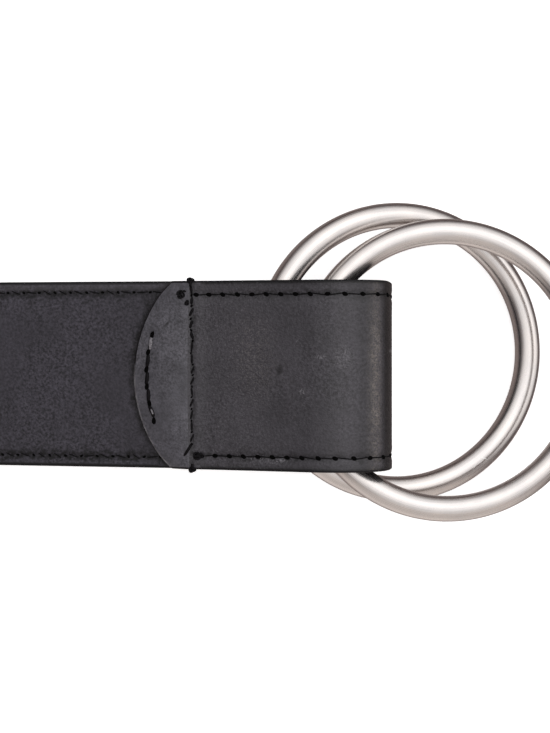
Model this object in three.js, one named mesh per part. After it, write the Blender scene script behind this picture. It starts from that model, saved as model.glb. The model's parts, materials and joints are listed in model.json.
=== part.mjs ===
// A double ring belt lying on a flat surface with its back up: a leather strap made of a face leather and a
// lining, whose end is folded round two plain metal rings and sewn down across the strap.
// Millimetres, +Z up. +X runs along the strap towards the rings. The origin is on the strap's underside, at the
// middle of its width and halfway from its tip to the fold.
import * as THREE from "three";

// Strap
const strapWidth = 38;
const strapLength = 1000; // from the tip to the outside of the fold
const faceThickness = 1.7;
const liningThickness = 1.4;
const clearance = 0.3; // between pieces that touch
const edgeBevel = 0.35;
const endRadius = 27.8; // of the curved end of the tab, and of the strap's tip

// Folded end
const loopLength = 40.7; // from the cross seam to the outside of the fold
const tabLength = 11.6; // from the cross seam to the end of the tab
const tabStep = 4; // length over which the tab steps down where the lining ends
const loopSlack = 4.2; // free height in the loop, over the two wires
const loopLift = 6.5; // from the surface to the underside of the loop
const seamLift = 11.3; // from the surface to the underside of the strap at the cross seam
const riseLength = 57; // from where the strap leaves the surface to the cross seam
const riseRadius = 60; // of the bend where the strap leaves the surface
const crestRadius = 25; // of the strap's crest under the cross seam
const crestLength = 3; // of the level stretch from the cross seam into the loop
const loopFloorRadius = 25; // of the bend into the bottom of the loop
const loopCrownRadius = 16; // of the bend out of the top of the loop
const loopSeamRadius = 14; // of the hollow between the loop's top and the cross seam

// Rings
const ringBore = 51;
const ringWire = 5.2;
const upperRingPlay = 2.6; // from the upper ring's wire to the inside of the fold, at the strap's edge
const upperRingOffset = 1.1; // of the upper ring's centre from the strap's centreline
const ringShiftAlong = 9.2; // of the lower ring's centre from the upper ring's, back along the strap
const ringShiftAcross = 3.4; // and across it

// Fineness of the faceted solids
const arcStep = THREE.MathUtils.degToRad(7.5);
const endSteps = 11; // sections round a curved end
const tabStepSections = 6;
const ringSegments = 96;
const wireSides = 14;
const contactSamples = 720; // points on a ring's centreline that seat it
const seatingSteps = 40; // halvings of the search that seats a ring

const strapThickness = faceThickness + clearance + liningThickness;
const midHeight = faceThickness + clearance / 2; // of the middle of the strap above its underside
const halfWidth = strapWidth / 2;
const wireRadius = ringWire / 2;
const ringRadius = (ringBore + ringWire) / 2; // of the ring's centreline
const foldRadius = (2 * ringWire + loopSlack) / 2 + strapThickness - midHeight; // of the strap's middle
const tipX = -strapLength / 2;
const foldX = strapLength / 2;
const seamX = foldX - loopLength;
const foldCentreX = foldX - midHeight - foldRadius;
const foldCentreZ = loopLift + midHeight + foldRadius;

// The side view of the strap is a path of straight stretches and arcs. A station on it is a point of the strap's
// middle and the heading there, counted from +X towards +Z.
function station(x, z, heading) {
  return { x, z, heading };
}

function straightOn(from, length) {
  return station(
    from.x + length * Math.cos(from.heading),
    from.z + length * Math.sin(from.heading),
    from.heading,
  );
}

// Adds the stations of an arc that turns by angle, to the left where angle is positive.
function addArc(path, radius, angle) {
  const start = path.at(-1);
  const side = Math.sign(angle);
  const centreX = start.x - side * radius * Math.sin(start.heading);
  const centreZ = start.z + side * radius * Math.cos(start.heading);
  const steps = Math.max(1, Math.ceil(Math.abs(angle) / arcStep));
  for (let i = 1; i <= steps; i++) {
    const heading = start.heading + (angle * i) / steps;
    path.push(
      station(
        centreX + side * radius * Math.sin(heading),
        centreZ - side * radius * Math.cos(heading),
        heading,
      ),
    );
  }
}

// Adds an arc, a straight and the opposite arc that end run ahead and shift to the side, at the first heading.
// Where the run is short, the arcs are as large as it lets them be.
function addShift(path, run, shift, firstRadius, secondRadius) {
  const side = Math.sign(shift);
  const largest = (run ** 2 + shift ** 2) / (2 * Math.abs(shift));
  const radii = Math.min(firstRadius + secondRadius, largest);
  const firstShare = firstRadius / (firstRadius + secondRadius);
  const sideways = Math.abs(shift) - radii;
  const straight = Math.sqrt(Math.max(run ** 2 + sideways ** 2 - radii ** 2, 0));
  const turn = Math.atan2(sideways, run) - Math.atan2(-radii, straight);
  addArc(path, firstShare * radii, side * turn);
  if (straight > clearance) path.push(straightOn(path.at(-1), straight));
  addArc(path, (1 - firstShare) * radii, -side * turn);
}

// The tip, the flat stretch, the rise to the cross seam and the bottom of the loop.
function lowerPath() {
  const path = [station(tipX, midHeight, 0)];
  path.push(station(seamX - riseLength, midHeight, 0));
  addShift(path, riseLength, seamLift, riseRadius, crestRadius);
  path.push(straightOn(path.at(-1), crestLength));
  addShift(path, foldCentreX - seamX - crestLength, loopLift - seamLift, crestRadius, loopFloorRadius);
  return path;
}

// The fold and the top of the loop, back to the cross seam.
function upperPath(lowerEnd) {
  const path = [lowerEnd];
  addArc(path, foldRadius, Math.PI);
  const seamTop = seamLift + midHeight + 2 * (liningThickness + clearance);
  const drop = foldCentreZ + foldRadius - seamTop;
  addShift(path, foldCentreX - seamX, drop, loopCrownRadius, loopSeamRadius);
  return path;
}

// The point of a path at x, on its first stretch that passes x.
function stationAt(path, x) {
  const i = path.findIndex((s, k) => k > 0 && path[k - 1].x <= x && x <= s.x);
  const [a, b] = [path[i - 1], path[i]];
  const share = (x - a.x) / (b.x - a.x);
  return station(
    x,
    THREE.MathUtils.lerp(a.z, b.z, share),
    THREE.MathUtils.lerp(a.heading, b.heading, share),
  );
}

function offset(s, distance) {
  return station(
    s.x - distance * Math.sin(s.heading),
    s.z + distance * Math.cos(s.heading),
    s.heading,
  );
}

// Distances from a curved end at which its outline has corners, on an arc at least as wide as the strap.
const endArc = Math.max(endRadius, halfWidth);
const endAngle = Math.asin(halfWidth / endArc);
const endDistances = Array.from({ length: endSteps }, (_, i) => {
  return endArc * (1 - Math.cos((endAngle * (i + 1)) / endSteps));
});

// The strap's half width at a distance from a curved end.
function widthAtEnd(distance) {
  const toCentre = Math.max(endArc - distance, 0);
  return Math.min(halfWidth, Math.sqrt(endArc ** 2 - toCentre ** 2));
}

// The tab lies on the strap under it, back from the cross seam, and steps down where the lining ends.
function tabPath(lower) {
  const back = Array.from({ length: tabStepSections }, (_, i) => (tabStep * (i + 1)) / tabStepSections);
  const ends = endDistances.map((d) => tabLength - d).filter((d) => d > tabStep);
  return [...back, ...ends.reverse()].map((distance) => {
    const under = stationAt(lower, seamX - distance);
    const stepped = 1 - THREE.MathUtils.smoothstep(distance, 0, tabStep);
    const top = offset(under, (liningThickness + clearance) * (1 + stepped));
    return { ...station(top.x, top.z, under.heading + Math.PI), toEnd: tabLength - distance };
  });
}

// A leather's section is a flat strip whose outer edges are bevelled. inner and outer are offsets from the
// strap's middle, to the left of its heading.
function stripSection(s, width, inner, outer) {
  const side = Math.sign(outer - inner);
  const shoulder = outer - side * edgeBevel;
  const across = [
    [width, inner],
    [width, shoulder],
    [width - edgeBevel, outer],
    [edgeBevel - width, outer],
    [-width, shoulder],
    [-width, inner],
  ];
  return across.map(([y, distance]) => {
    const p = offset(s, distance);
    return new THREE.Vector3(p.x, side * y, p.z);
  });
}

// A closed solid through sections that have the same number of points.
function loft(sections) {
  const count = sections[0].length;
  const triangles = [];
  const at = (i, k) => i * count + (k % count);
  for (let i = 0; i + 1 < sections.length; i++) {
    for (let k = 0; k < count; k++) {
      const [a, b, c, d] = [at(i, k), at(i, k + 1), at(i + 1, k + 1), at(i + 1, k)];
      triangles.push([a, b, c], [a, c, d]);
    }
  }
  const last = sections.length - 1;
  for (let k = 1; k + 1 < count; k++) {
    triangles.push([at(0, 0), at(0, k + 1), at(0, k)]);
    triangles.push([at(last, 0), at(last, k), at(last, k + 1)]);
  }
  const geometry = new THREE.BufferGeometry().setFromPoints(sections.flat());
  geometry.setIndex(triangles.flat());
  geometry.computeVertexNormals();
  return geometry;
}

// The strap's own path from its tip on, with the sections round the tip put in.
function withTip(path) {
  const tip = endDistances.map((d) => ({ ...station(tipX + d, midHeight, 0), toEnd: d }));
  return [...tip, ...path.slice(1)];
}

function leatherStrip(path, inner, outer) {
  return loft(
    path.map((s) => {
      const width = s.toEnd === undefined ? halfWidth : widthAtEnd(s.toEnd);
      return stripSection(s, width, inner, outer);
    }),
  );
}

// A ring is a centre and the two slopes of its plane.
function ringPlane(x, y, z, slopeX, slopeY) {
  const centre = new THREE.Vector3(x, y, z);
  const axis = new THREE.Vector3(-slopeX, -slopeY, 1).normalize();
  return { centre, axis };
}

function ringTurn(ring) {
  return new THREE.Quaternion().setFromUnitVectors(new THREE.Vector3(0, 0, 1), ring.axis);
}

function ringCentreline(ring) {
  const turn = ringTurn(ring);
  return Array.from({ length: contactSamples }, (_, i) => {
    const angle = (2 * Math.PI * i) / contactSamples;
    return new THREE.Vector3(Math.cos(angle), Math.sin(angle), 0)
      .multiplyScalar(ringRadius)
      .applyQuaternion(turn)
      .add(ring.centre);
  });
}

// The free distance between a ring's wire and the lining under it, within the strap's width. floor is the side
// view of the lining's surface, from the strap to the outermost point of the fold.
function freeOverFloor(ring, floor) {
  const segments = floor.slice(1).map((b, i) => {
    return new THREE.Line3(new THREE.Vector3(floor[i].x, 0, floor[i].z), new THREE.Vector3(b.x, 0, b.z));
  });
  const near = new THREE.Vector3();
  const inLoop = ringCentreline(ring).filter((p) => Math.abs(p.y) < halfWidth && p.x < floor.at(-1).x);
  const distances = inLoop.map((p) => {
    const flat = new THREE.Vector3(p.x, 0, p.z);
    const gaps = segments.map((line) => line.closestPointToPoint(flat, true, near).distanceTo(flat));
    const over = flat.z > stationAt(floor, p.x).z ? 1 : -1;
    return over * Math.min(...gaps);
  });
  return Math.min(...distances) - wireRadius;
}

// The free distance between the wires of two rings.
function freeBetweenRings(ring, other) {
  const turn = ringTurn(other).invert();
  const distances = ringCentreline(ring).map((p) => {
    const local = p.sub(other.centre).applyQuaternion(turn);
    return Math.hypot(Math.hypot(local.x, local.y) - ringRadius, local.z);
  });
  return Math.min(...distances) - ringWire;
}

// The smallest value between low and high at which fits is true.
function smallest(low, high, fits) {
  for (let i = 0; i < seatingSteps; i++) {
    const middle = (low + high) / 2;
    if (fits(middle)) high = middle;
    else low = middle;
  }
  return high;
}

// The lower ring leans on the strap inside the loop, and its far side rests on the surface.
function seatLowerRing(floor, x, y) {
  const leaning = (slope) => {
    const rise = ringRadius * Math.sin(Math.atan(slope));
    return ringPlane(x, y, wireRadius + rise, -slope, 0);
  };
  return leaning(smallest(0, 1, (slope) => freeOverFloor(leaning(slope), floor) > clearance));
}

function planeHeight(ring, x, y) {
  const { centre, axis } = ring;
  return centre.z - (axis.x * (x - centre.x) + axis.y * (y - centre.y)) / axis.z;
}

// The upper ring lies on the lower one at the two places where they cross, and on the strap at its far edge.
function seatUpperRing(floor, lowerRing, x, y) {
  const between = new THREE.Vector2(x - lowerRing.centre.x, y - lowerRing.centre.y);
  const half = between.length() / 2;
  const reach = Math.sqrt(ringRadius ** 2 - half ** 2);
  const across = new THREE.Vector2(-between.y, between.x).normalize().multiplyScalar(reach);
  const middle = new THREE.Vector2(lowerRing.centre.x, lowerRing.centre.y).addScaledVector(between, 0.5);
  const stack = ringWire + clearance;
  const crossings = [1, -1].map((side) => {
    const p = middle.clone().addScaledVector(across, side);
    return new THREE.Vector3(p.x, p.y, planeHeight(lowerRing, p.x, p.y) + stack);
  });
  const edgeX = x - Math.sqrt(ringRadius ** 2 - (halfWidth - y) ** 2);
  const third = new THREE.Vector3(edgeX, halfWidth, stationAt(floor, edgeX).z + clearance + wireRadius);
  const plane = new THREE.Plane().setFromCoplanarPoints(crossings[0], crossings[1], third);
  const [slopeX, slopeY] = [-plane.normal.x / plane.normal.z, -plane.normal.y / plane.normal.z];
  const height = third.z + slopeX * (x - third.x) + slopeY * (y - third.y);
  const lifted = (lift) => ringPlane(x, y, height + lift, slopeX, slopeY);
  const fits = (lift) => {
    const ring = lifted(lift);
    return freeBetweenRings(ring, lowerRing) > clearance && freeOverFloor(ring, floor) > clearance;
  };
  return lifted(smallest(-wireRadius, ringWire, fits));
}

const leather = {
  face: new THREE.MeshStandardMaterial({ color: 0x454347, roughness: 0.62, metalness: 0 }),
  lining: new THREE.MeshStandardMaterial({ color: 0x3d3b40, roughness: 0.7, metalness: 0 }),
};
const nickel = new THREE.MeshStandardMaterial({ color: 0xc4bcb6, roughness: 0.3, metalness: 1 });

function ringMesh(name, ring) {
  const geometry = new THREE.TorusGeometry(ringRadius, wireRadius, wireSides, ringSegments);
  const mesh = new THREE.Mesh(geometry, nickel);
  mesh.name = name;
  mesh.position.copy(ring.centre);
  mesh.quaternion.copy(ringTurn(ring));
  return mesh;
}

function strapMesh(name, path, inner, outer, material) {
  const mesh = new THREE.Mesh(leatherStrip(path, inner, outer), material);
  mesh.name = name;
  return mesh;
}

const lower = lowerPath();
const upper = upperPath(lower.at(-1));
const toSeam = withTip([...lower, ...upper.slice(1)]);
const toTab = [...toSeam, ...tabPath(lower)];

const edgeReach = Math.sqrt(ringRadius ** 2 - (halfWidth + upperRingOffset) ** 2);
const foldInsideX = foldX - strapThickness;
const upperRingX = foldInsideX - upperRingPlay - wireRadius + edgeReach;
const toOutermost = toSeam.slice(0, toSeam.findIndex((s) => s.heading > Math.PI / 2));
const loopFloor = toOutermost.map((s) => offset(s, strapThickness - midHeight));
const lowerRing = seatLowerRing(loopFloor, upperRingX - ringShiftAlong, upperRingOffset + ringShiftAcross);
const upperRing = seatUpperRing(loopFloor, lowerRing, upperRingX, upperRingOffset);

const belt = new THREE.Group();
belt.add(
  strapMesh("strap_face", toTab, -clearance / 2, -clearance / 2 - faceThickness, leather.face),
  strapMesh("strap_lining", toSeam, clearance / 2, clearance / 2 + liningThickness, leather.lining),
  ringMesh("lower_ring", lowerRing),
  ringMesh("upper_ring", upperRing),
);

export default belt;
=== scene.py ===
"""A double ring belt lying face down: two leathers sewn together, folded round two satin metal rings."""

import json
import math

import bpy
import numpy as np
from bpy.props import FloatProperty, FloatVectorProperty, IntProperty, PointerProperty
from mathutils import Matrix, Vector, noise


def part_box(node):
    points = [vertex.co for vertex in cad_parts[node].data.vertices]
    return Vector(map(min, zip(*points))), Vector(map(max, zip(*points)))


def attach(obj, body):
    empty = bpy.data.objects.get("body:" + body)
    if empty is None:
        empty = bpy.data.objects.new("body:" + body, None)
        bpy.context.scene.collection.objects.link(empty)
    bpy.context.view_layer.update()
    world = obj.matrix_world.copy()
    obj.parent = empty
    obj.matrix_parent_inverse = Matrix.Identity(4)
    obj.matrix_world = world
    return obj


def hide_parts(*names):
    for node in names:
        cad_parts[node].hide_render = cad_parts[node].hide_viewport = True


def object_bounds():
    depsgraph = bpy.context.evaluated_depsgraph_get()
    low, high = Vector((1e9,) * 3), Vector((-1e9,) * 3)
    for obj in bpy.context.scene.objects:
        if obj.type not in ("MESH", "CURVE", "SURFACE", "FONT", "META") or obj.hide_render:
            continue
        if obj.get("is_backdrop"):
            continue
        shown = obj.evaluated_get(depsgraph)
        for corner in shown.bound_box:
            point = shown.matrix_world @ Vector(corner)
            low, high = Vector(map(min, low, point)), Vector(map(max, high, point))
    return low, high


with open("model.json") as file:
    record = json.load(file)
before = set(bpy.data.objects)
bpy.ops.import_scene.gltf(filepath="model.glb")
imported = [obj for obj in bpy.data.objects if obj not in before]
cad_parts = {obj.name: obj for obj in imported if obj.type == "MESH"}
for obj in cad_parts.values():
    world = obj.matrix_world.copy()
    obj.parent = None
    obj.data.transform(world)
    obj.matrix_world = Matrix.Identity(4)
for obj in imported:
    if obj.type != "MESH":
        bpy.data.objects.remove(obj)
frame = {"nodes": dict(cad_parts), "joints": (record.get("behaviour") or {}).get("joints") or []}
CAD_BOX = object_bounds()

bl_info = {
    "name": "Double Ring Belt", "version": (1, 0, 0), "blender": (4, 5, 0),
    "location": "View3D > Sidebar > Belt",
    "description": "Builds the looks of a double ring belt around its packed frame",
    "category": "Object",
}

MM = 0.001
FACE_LOW, FACE_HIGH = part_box("strap_face")
STRAP_BODY = "strap"


def number(name, default, description, **kind):
    """A number that a user sets."""
    return FloatProperty(name=name, description=description, default=default, **kind)


def length(name, millimetres, description):
    """A length that a user sets, with its default in millimetres."""
    return number(name, millimetres * MM, description, unit="LENGTH", precision=5)


def share(name, default, description):
    """A number from 0 to 1 that a user sets."""
    return number(name, default, description, min=0, max=1, subtype="FACTOR")


def angle(name, degrees, description):
    """An angle that a user sets, with its default in degrees."""
    return number(name, math.radians(degrees), description, subtype="ANGLE")


def linear(code):
    """Turns an sRGB hex code to a linear colour with alpha."""
    parts = [int(code[k : k + 2], 16) / 255 for k in (1, 3, 5)]
    return (*[p / 12.92 if p <= 0.04045 else ((p + 0.055) / 1.055) ** 2.4 for p in parts], 1.0)


def colour(name, code, description):
    """A colour that a user sets, with its default as an sRGB hex code."""
    return FloatVectorProperty(
        name=name, description=description, default=linear(code), size=4, min=0, max=1, subtype="COLOR"
    )


class StrapSettings(bpy.types.PropertyGroup):
    """Sizes of the folded strap."""

    face_thickness: length("Face", 1.7, "Thickness of the face leather")
    lining_thickness: length("Lining", 1.4, "Thickness of the lining leather")
    joint_gap: length("Joint", 0.3, "Gap that the frame keeps between the two leathers")
    glue_line: length("Glue line", 0.06, "Width of the line between the leathers at the edge")
    loop_length: length("Loop", 40.7, "From the cross seam to the outside of the fold")
    tab_length: length("Tab", 11.25, "From the cross seam to the end of the tab")
    tab_skive: share("Tab skive", 0.35, "Share of its thickness that the tab loses to its end")
    end_radius: length("End radius", 27.1, "Radius of the tab's end and of the strap's tip")
    loop_lift: length("Loop lift", 6.5, "Height of the loop's underside")
    seam_lift: length("Seam lift", 11.3, "Height of the strap's underside at the cross seam")
    rise_length: length("Rise", 57, "From where the strap leaves the surface to the cross seam")
    rise_radius: length("Rise radius", 60, "Radius of the bend where the strap leaves the surface")
    crest_radius: length("Crest radius", 25, "Radius of the strap's crest under the cross seam")
    crest_length: length("Crest", 3, "Level stretch from the cross seam into the loop")
    floor_radius: length("Loop floor radius", 25, "Radius of the bend into the bottom of the loop")
    crown_radius: length("Loop crown radius", 16, "Radius of the bend out of the top of the loop")
    hollow_radius: length("Loop hollow radius", 14, "Radius of the hollow before the cross seam")
    corner_radius: length("Edge rounding", 0.45, "Rounding of the painted edges")
    fold_pinch: length("Fold pinch", 0.5, "How far the edges draw in at the tightest of the fold")
    pinch_reach: length("Pinch reach", 3.2, "Length over which the edges draw in")


class StitchSettings(bpy.types.PropertyGroup):
    """Sizes of the stitches."""

    face_inset: length("Face inset", 2.85, "From the edge to the stitches on the face side")
    lining_inset: length("Lining inset", 2.25, "From the edge to the stitches on the lining side")
    face_pitch: length("Face pitch", 3.12, "Stitch length on the folded end")
    lining_pitch: length("Lining pitch", 3.42, "Stitch length along the strap")
    face_thread: length("Face thread", 0.25, "Thread thickness on the face side")
    lining_thread: length("Lining thread", 0.27, "Thread thickness on the lining side")
    seam_thread: length("Seam thread", 0.56, "Thread thickness in the cross seam")
    tie_thread: length("Tie thread", 0.6, "Thread thickness of the knots and of what ties off")
    tab_thread: length("Tab thread", 0.9, "Thread thickness of the curved row on the tab")
    hole_length: length("Hole length", 1.35, "Length of the needle holes")
    hole_width: length("Hole width", 0.92, "Width of the needle holes")
    hole_slant: angle("Hole slant", 14, "Slant of the needle holes")
    lining_slant: angle("Lining slant", 14, "Slant of the stitches on the lining side")
    groove_width: length("Groove width", 0.7, "Width of the groove along the stitches")
    groove_depth: length("Groove depth", 0.18, "Depth of the groove along the stitches")
    seam_pitch: length("Seam pitch", 2.35, "Stitch length of the cross seam")
    seam_offset: length("Seam offset", 0.5, "From the lining's end to the cross seam's line")
    tab_pitch: length("Tab pitch", 3.45, "Stitch length of the curved tab stitches")
    tab_inset: length("Tab inset", 3.15, "From the tab's end to its stitches")
    tab_first: length("Tab start", 8.05, "From the centreline to the tab's first stitch")
    seed: IntProperty(name="Seed", description="Seed of the stitches' small differences", default=7)


class RingSettings(bpy.types.PropertyGroup):
    """Sizes of the rings."""

    wire_radius: length("Wire radius", 2.6, "Half the thickness of the ring's wire")
    segments: IntProperty(name="Segments", description="Steps round the ring", default=288)
    sides: IntProperty(name="Sides", description="Steps round the wire", default=40)


class FinishSettings(bpy.types.PropertyGroup):
    """Colours of the finishes."""

    face: colour("Face leather", "#38363B", "Smooth side of the face leather")
    lining: colour("Lining leather", "#343239", "Upper side of the lining leather")
    tab: colour("Tab leather", "#4A494F", "Smooth side of the tab")
    # Also the colour of painted highlights: on the fold's crown, along the lining's upper edge and on the
    # tab bevel's lower half.
    rub: colour("Rubbed leather", "#77757A", "Leather where it is rubbed")
    # Also the colour of the painted highlight on the fold's shoulder.
    stretch_and_highlight: colour("Stretched leather", "#78716B", "Leather where the fold stretches it")
    # Also the colour of painted shade: over the fold's turn, below its crown, in the stitch grooves and
    # past the tab's end.
    edge: colour("Edge paint", "#0C0B0E", "Paint on the cut edges")
    thread: colour("Thread", "#080709", "Sewing thread")
    pale_thread: colour("Pale thread", "#5C5A5E", "Thread rubbed pale on the tab")
    # Near black: painted shade inside the needle holes.
    hole: colour("Needle hole", "#030303", "Inside of the needle holes")
    metal: colour("Ring metal", "#DEDAD8", "Satin nickel of the rings")
    blemish: colour("Ring blemish", "#A08468", "Tan mark on the lower ring")


class StageSettings(bpy.types.PropertyGroup):
    """The camera, the surface and the light."""

    camera_height: length("Camera height", 406, "Height of the camera over the surface")
    camera_back: length("Camera from fold", 23.6, "From the fold back to the camera's axis")
    camera_aside: length("Camera aside", 8.86, "From the strap's centreline to the camera's axis")
    focal_pixels: number("Focal length", 1930, "Focal length of the photo, in its own pixels")
    axis_row: number("Axis row", 331, "Row of the photo that the camera's axis meets")
    key_light: number("Key", 1.2, "Brightness of the light overhead")
    right_light: number("Right", 0.95, "Brightness low on the right")
    front_light: number("Front", 0.62, "Brightness at the front")
    dim_light: number("Dim", 0.07, "Brightness everywhere else")
    low_light: number("Low", 0.2, "Brightness from under the sky")
    floor_glow: share("Floor glow", 0.62, "Light that the lit surface adds of itself")
    floor: colour("Surface", "#F7F7F7", "Paper that the belt lies on")
    backdrop: colour("Backdrop", "#F3F3F3", "What the camera sees past the surface")


SETTINGS = {
    "belt_strap": StrapSettings,
    "belt_stitch": StitchSettings,
    "belt_ring": RingSettings,
    "belt_finish": FinishSettings,
    "belt_stage": StageSettings,
}
FRAME_HEIGHT_PX = 733
SENSOR_WIDTH_MM = 36
FLOOR_REACH_M = 40.0
SOFTBOX_SIDE_M = 1.2
SOFTBOX_POWER_W = 1.8
SOFTBOX_PLACE_M = (0.85, 0.67, 1.4)


# Side view of the strap


class SidePath:
    """The strap's middle line from the side: straight stretches and arcs, found by arc length."""

    def __init__(self, x, z):
        self.end = (x, z, 0.0)
        self.length = 0.0
        self.rows = []

    def add(self, stretch_and_highlight, turn=0.0):
        """Adds a stretch that turns by an angle over its length, to the left where positive."""
        bend = turn / stretch_and_highlight
        self.rows.append((self.length, *self.end, bend))
        self.length += stretch_and_highlight
        self.end = tuple(float(v[0]) for v in self.at(np.array([self.length])))

    def at(self, u):
        """x, z and heading at the arc lengths u."""
        table = np.array(self.rows)
        row = table[np.clip(np.searchsorted(table[:, 0], u, side="right") - 1, 0, None)]
        start, x, z, heading, bend = np.moveaxis(row, -1, 0)
        gone = u - start
        turned = heading + bend * gone
        curved = np.abs(bend) > 1e-9
        safe = np.where(curved, bend, 1.0)
        run_x = np.where(curved, (np.sin(turned) - np.sin(heading)) / safe, gone * np.cos(heading))
        run_z = np.where(curved, (np.cos(heading) - np.cos(turned)) / safe, gone * np.sin(heading))
        return x + run_x, z + run_z, turned

    def add_shift(self, run, shift, first_radius, second_radius):
        """Adds an arc, a straight and the opposite arc that end run ahead and shift to the side."""
        side = math.copysign(1, shift)
        largest = (run**2 + shift**2) / (2 * abs(shift))
        radii = min(first_radius + second_radius, largest)
        first_share = first_radius / (first_radius + second_radius)
        sideways = abs(shift) - radii
        straight = math.sqrt(max(run**2 + sideways**2 - radii**2, 0))
        turn = math.atan2(sideways, run) - math.atan2(-radii, straight)
        self.add(first_share * radii * turn, side * turn)
        if straight > MM / 10:
            self.add(straight)
        self.add((1 - first_share) * radii * turn, -side * turn)


# The lower edge draws in less at the fold than the upper one does.
LOWER_PINCH = 0.25


class StrapShape:
    """Places on the folded strap, worked out from the frame's box and the strap's sizes."""

    def __init__(self, scene):
        strap = scene.belt_strap
        self.strap = strap
        self.stitch = scene.belt_stitch
        self.half_width = FACE_HIGH.y
        self.tip_x = FACE_LOW.x
        self.fold_x = FACE_HIGH.x
        self.seam_x = self.fold_x - strap.loop_length
        self.mid_height = strap.face_thickness + strap.joint_gap / 2
        fold_radius = (FACE_HIGH.z - strap.loop_lift) / 2 - self.mid_height
        centre_x = self.fold_x - self.mid_height - fold_radius
        path = SidePath(self.tip_x, self.mid_height)
        path.add(self.seam_x - strap.rise_length - self.tip_x)
        path.add_shift(strap.rise_length, strap.seam_lift, strap.rise_radius, strap.crest_radius)
        self.seam_u = path.length
        path.add(strap.crest_length)
        loop_run = centre_x - self.seam_x
        dive = strap.loop_lift - strap.seam_lift
        path.add_shift(loop_run - strap.crest_length, dive, strap.crest_radius, strap.floor_radius)
        self.fold_u = path.length
        path.add(math.pi * fold_radius, math.pi)
        self.crown_u = path.length
        layer = strap.lining_thickness + strap.joint_gap
        seam_top = strap.seam_lift + self.mid_height + 2 * layer
        drop = FACE_HIGH.z - self.mid_height - seam_top
        path.add_shift(loop_run, drop, strap.crown_radius, strap.hollow_radius)
        self.end_u = path.length
        self.path = path

    def place(self, u, y, lift):
        """Points at arc lengths u and widths y, lifted to the left of the strap's heading."""
        strap = self.strap
        x, z, heading = self.path.at(u)
        from_fold = (u - (self.fold_u + self.crown_u) / 2) / strap.pinch_reach
        one_sided = np.where(np.asarray(y) > 0, 1.0, LOWER_PINCH)
        drawn_in = 1 - strap.fold_pinch / self.half_width * np.exp(-(from_fold**2)) * one_sided
        return np.stack([x - lift * np.sin(heading), y * drawn_in, z + lift * np.cos(heading)], -1)

    def place_on_tab(self, back, y, lift):
        """Points on the tab, at distances back from the cross seam, sloping down to the lining."""
        strap = self.strap
        x, z, heading = self.path.at(self.seam_u - back)
        gone = np.clip(back / self.reach(y), 0, 1)
        smooth = gone * gone * (3 - 2 * gone)
        stepped = 1 - (0.6 * gone + 0.4 * smooth)
        height = (strap.lining_thickness + strap.joint_gap) * (1 + stepped) + lift
        return np.stack([x - height * np.sin(heading), y, z + height * np.cos(heading)], -1)

    def edge_gap(self, u, y):
        """Distance from places on the strap to its nearest edge, the curved tip's among them."""
        radius = self.strap.end_radius
        from_tip = radius - np.hypot(np.minimum(u, radius) - radius, y)
        return np.minimum(self.half_width - np.abs(y), from_tip)

    def end_inset(self, y):
        """Distance from a curved end's outermost point to its outline at the width y."""
        radius = self.strap.end_radius
        return radius - np.sqrt(radius**2 - np.clip(np.abs(y), 0, self.half_width) ** 2)

    def reach(self, y):
        """Length of the tab at the width y."""
        return self.strap.tab_length - self.end_inset(y)


# Mesh helpers


def plain_object(name, points, faces, slots=None, uv=None):
    """A smooth mesh object. slots is each face's material number; uv is for points or corners."""
    mesh = bpy.data.meshes.new(name)
    mesh.from_pydata([tuple(p) for p in points], [], faces)
    if slots is not None:
        mesh.polygons.foreach_set("material_index", slots)
    if uv is not None:
        layer = mesh.uv_layers.new(name="surface")
        corners = np.zeros(len(mesh.loops), np.int32)
        mesh.loops.foreach_get("vertex_index", corners)
        uv = np.asarray(uv, np.float32)
        layer.data.foreach_set("uv", (uv if len(uv) > len(points) else uv[corners]).ravel())
    mesh.shade_smooth()
    made = bpy.data.objects.new(name, mesh)
    bpy.context.scene.collection.objects.link(made)
    return made


def finish_piece(made, body, materials, replaced=()):
    """Gives a piece its materials and says what it rides on and stands for."""
    for material in materials:
        made.data.materials.append(material)
    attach(made, body)
    if replaced:
        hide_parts(*replaced)
    return made


def ring_quads(rings, count):
    """Quads between neighbouring closed rings, with count points to a ring."""
    faces = []
    for k in range(rings - 1):
        for j in range(count):
            a, b = k * count + j, k * count + (j + 1) % count
            faces.append((a, b, b + count, a + count))
    return faces


def tube(points, radii, sides):
    """Points and faces of a closed round tube along points, with a radius at each."""
    points = np.asarray(points, float)
    along = np.gradient(points, axis=0)
    along /= np.linalg.norm(along, axis=1)[:, None]
    side = Vector(along[0]).orthogonal().normalized()
    rings = []
    for k, point in enumerate(points):
        if k:
            side.rotate(Vector(along[k - 1]).rotation_difference(Vector(along[k])))
        across = Vector(along[k]).cross(side)
        turns = np.arange(sides) * 2 * math.pi / sides
        rings.append(
            point + radii[k] * (np.outer(np.cos(turns), side) + np.outer(np.sin(turns), across))
        )
    faces = ring_quads(len(points), sides)
    last = (len(points) - 1) * sides
    faces.append(tuple(range(sides))[::-1])
    faces.append(tuple(range(last, last + sides)))
    return np.concatenate(rings), faces


def joined(parts):
    """Joins lists of points and faces into one."""
    points, faces, start = [], [], 0
    for some_points, some_faces in parts:
        points.append(some_points)
        faces += [tuple(v + start for v in face) for face in some_faces]
        start += len(some_points)
    return np.concatenate(points), faces


# Materials


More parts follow.
